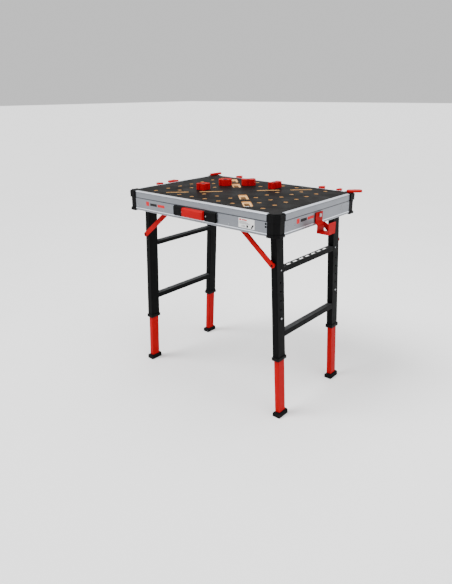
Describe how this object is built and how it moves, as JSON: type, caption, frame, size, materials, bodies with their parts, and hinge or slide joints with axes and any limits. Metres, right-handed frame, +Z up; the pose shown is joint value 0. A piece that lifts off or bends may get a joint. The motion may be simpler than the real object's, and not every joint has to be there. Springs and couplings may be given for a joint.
{
  "type": "folding workbench",
  "caption": "Folding multifunction workbench with a perforated black worktop in an aluminium rail frame, fold-in leg frames, telescopic red lower legs, braces, clamping jaws and a tool hook.",
  "frame": {"origin": "on the floor, under the middle of the whole object's box", "axes": "+Z up, X along the long side of the worktop, -Y towards the side with the carrying handle"},
  "size_m": [0.9788, 0.6688, 0.968],
  "materials": {
    "black_film_board": "phenolic-film-faced board with a fine mesh texture and a light wood core at the cut edges",
    "anodised_aluminium": "satin extruded aluminium, fine lines along the length",
    "black_plastic": "moulded black plastic, fine grain",
    "black_paint": "satin black powder coat on steel tube",
    "red_paint": "satin red powder coat on steel",
    "red_plastic": "moulded red plastic, fine grain",
    "zinc_steel": "zinc-plated steel"
  },
  "bodies": {
    "table_frame": {"worktop": "black_film_board", "front_rail": "anodised_aluminium", "back_rail": "anodised_aluminium", "left_rail": "anodised_aluminium", "right_rail": "anodised_aluminium", "left_handle_mount": "black_plastic", "right_handle_mount": "black_plastic", "handle_grip": "red_plastic", "tool_holder": "red_paint", "tool_holder_bolt": "zinc_steel", "left_front_stop": "red_paint", "left_back_stop": "red_paint", "back_left_stop": "red_paint", "back_middle_stop": "red_paint", "back_right_stop": "red_paint", "left_corner_lever": "red_plastic", "right_corner_lever": "red_plastic", "left_pivot_rod": "zinc_steel", "right_pivot_rod": "zinc_steel", "front_left_corner_cap": "black_plastic", "front_left_hinge_bracket": "zinc_steel", "front_right_corner_cap": "black_plastic", "front_right_hinge_bracket": "zinc_steel", "back_left_corner_cap": "black_plastic", "back_left_hinge_bracket": "zinc_steel", "back_right_corner_cap": "black_plastic", "back_right_hinge_bracket": "zinc_steel"},
    "left_leg_frame": {"left_upper_crossbar": "black_paint", "left_lower_crossbar": "black_paint", "front_left_outer_leg": "black_paint", "front_left_collar": "black_plastic", "back_left_outer_leg": "black_paint", "back_left_collar": "black_plastic"},
    "front_left_brace_arm": {"front_left_brace": "red_paint"},
    "front_left_lower_leg": {"front_left_inner_leg": "red_paint", "front_left_foot": "black_plastic"},
    "front_left_button": {"front_left_snap_button": "zinc_steel"},
    "back_left_brace_arm": {"back_left_brace": "red_paint"},
    "back_left_lower_leg": {"back_left_inner_leg": "red_paint", "back_left_foot": "black_plastic"},
    "back_left_button": {"back_left_snap_button": "zinc_steel"},
    "right_leg_frame": {"right_upper_crossbar": "black_paint", "right_lower_crossbar": "black_paint", "front_right_outer_leg": "black_paint", "front_right_collar": "black_plastic", "back_right_outer_leg": "black_paint", "back_right_collar": "black_plastic"},
    "front_right_brace_arm": {"front_right_brace": "red_paint"},
    "front_right_lower_leg": {"front_right_inner_leg": "red_paint", "front_right_foot": "black_plastic"},
    "front_right_button": {"front_right_snap_button": "zinc_steel"},
    "back_right_brace_arm": {"back_right_brace": "red_paint"},
    "back_right_lower_leg": {"back_right_inner_leg": "red_paint", "back_right_foot": "black_plastic"},
    "back_right_button": {"back_right_snap_button": "zinc_steel"},
    "square_jaw_body": {"square_jaw": "red_plastic"},
    "round_jaw_body": {"round_jaw": "red_plastic"},
    "vee_jaw_body": {"vee_jaw": "red_plastic"},
    "wide_jaw_body": {"wide_jaw": "red_plastic"}
  },
  "joints": [
    {"name": "left_legs_fold", "type": "hinge", "parent": "table_frame", "child": "left_leg_frame", "pos_m": [-0.39994, -0.00539, 0.862], "axis": [0, -1, 0], "range_deg": [0, 93.15]},
    {"name": "front_left_brace_turn", "type": "hinge", "parent": "left_leg_frame", "child": "front_left_brace_arm", "pos_m": [-0.40798, -0.26719, 0.716], "axis": [0, 1, 0], "range_deg": [0, 132.44]},
    {"name": "front_left_leg_slide", "type": "slide", "parent": "left_leg_frame", "child": "front_left_lower_leg", "axis": [0.055, 0, 0.9985], "range_m": [0, 0.1605], "deforming": ["front_left_snap_button"]},
    {"name": "front_left_button_press", "type": "slide", "parent": "front_left_lower_leg", "child": "front_left_button", "axis": [0.9985, 0, -0.055], "range_m": [0, 0.005], "stiffness_N_per_m": 400},
    {"name": "back_left_brace_turn", "type": "hinge", "parent": "left_leg_frame", "child": "back_left_brace_arm", "pos_m": [-0.40798, 0.25641, 0.716], "axis": [0, 1, 0], "range_deg": [0, 132.44]},
    {"name": "back_left_leg_slide", "type": "slide", "parent": "left_leg_frame", "child": "back_left_lower_leg", "axis": [0.055, 0, 0.9985], "range_m": [0, 0.1605], "deforming": ["back_left_snap_button"]},
    {"name": "back_left_button_press", "type": "slide", "parent": "back_left_lower_leg", "child": "back_left_button", "axis": [0.9985, 0, -0.055], "range_m": [0, 0.005], "stiffness_N_per_m": 400},
    {"name": "right_legs_fold", "type": "hinge", "parent": "table_frame", "child": "right_leg_frame", "pos_m": [0.35916, -0.00539, 0.898], "axis": [0, 1, 0], "range_deg": [0, 93.15]},
    {"name": "front_right_brace_turn", "type": "hinge", "parent": "right_leg_frame", "child": "front_right_brace_arm", "pos_m": [0.36918, -0.26719, 0.716], "axis": [0, -1, 0], "range_deg": [0, 132.44]},
    {"name": "front_right_leg_slide", "type": "slide", "parent": "right_leg_frame", "child": "front_right_lower_leg", "axis": [-0.055, 0, 0.9985], "range_m": [0, 0.1605], "deforming": ["front_right_snap_button"]},
    {"name": "front_right_button_press", "type": "slide", "parent": "front_right_lower_leg", "child": "front_right_button", "axis": [-0.9985, 0, -0.055], "range_m": [0, 0.005], "stiffness_N_per_m": 400},
    {"name": "back_right_brace_turn", "type": "hinge", "parent": "right_leg_frame", "child": "back_right_brace_arm", "pos_m": [0.36918, 0.25641, 0.716], "axis": [0, -1, 0], "range_deg": [0, 132.44]},
    {"name": "back_right_leg_slide", "type": "slide", "parent": "right_leg_frame", "child": "back_right_lower_leg", "axis": [-0.055, 0, 0.9985], "range_m": [0, 0.1605], "deforming": ["back_right_snap_button"]},
    {"name": "back_right_button_press", "type": "slide", "parent": "back_right_lower_leg", "child": "back_right_button", "axis": [-0.9985, 0, -0.055], "range_m": [0, 0.005], "stiffness_N_per_m": 400},
    {"name": "square_jaw_lift", "type": "slide", "parent": "table_frame", "child": "square_jaw_body", "axis": [0, 0, 1], "range_m": [0, 0.06]},
    {"name": "round_jaw_lift", "type": "slide", "parent": "table_frame", "child": "round_jaw_body", "axis": [0, 0, 1], "range_m": [0, 0.06]},
    {"name": "vee_jaw_lift", "type": "slide", "parent": "table_frame", "child": "vee_jaw_body", "axis": [0, 0, 1], "range_m": [0, 0.06]},
    {"name": "wide_jaw_lift", "type": "slide", "parent": "table_frame", "child": "wide_jaw_body", "axis": [0, 0, 1], "range_m": [0, 0.06]}
  ],
  "couplings": [
    {"joint": "front_left_brace_turn", "follows": "left_legs_fold", "ratio": 1.4165},
    {"joint": "front_left_leg_slide", "follows": "left_legs_fold", "m_per_rad": 0.098415},
    {"joint": "back_left_brace_turn", "follows": "left_legs_fold", "ratio": 1.4165},
    {"joint": "back_left_leg_slide", "follows": "left_legs_fold", "m_per_rad": 0.098415},
    {"joint": "front_right_brace_turn", "follows": "right_legs_fold", "ratio": 1.4165},
    {"joint": "front_right_leg_slide", "follows": "right_legs_fold", "m_per_rad": 0.098415},
    {"joint": "back_right_brace_turn", "follows": "right_legs_fold", "ratio": 1.4165},
    {"joint": "back_right_leg_slide", "follows": "right_legs_fold", "m_per_rad": 0.098415}
  ]
}
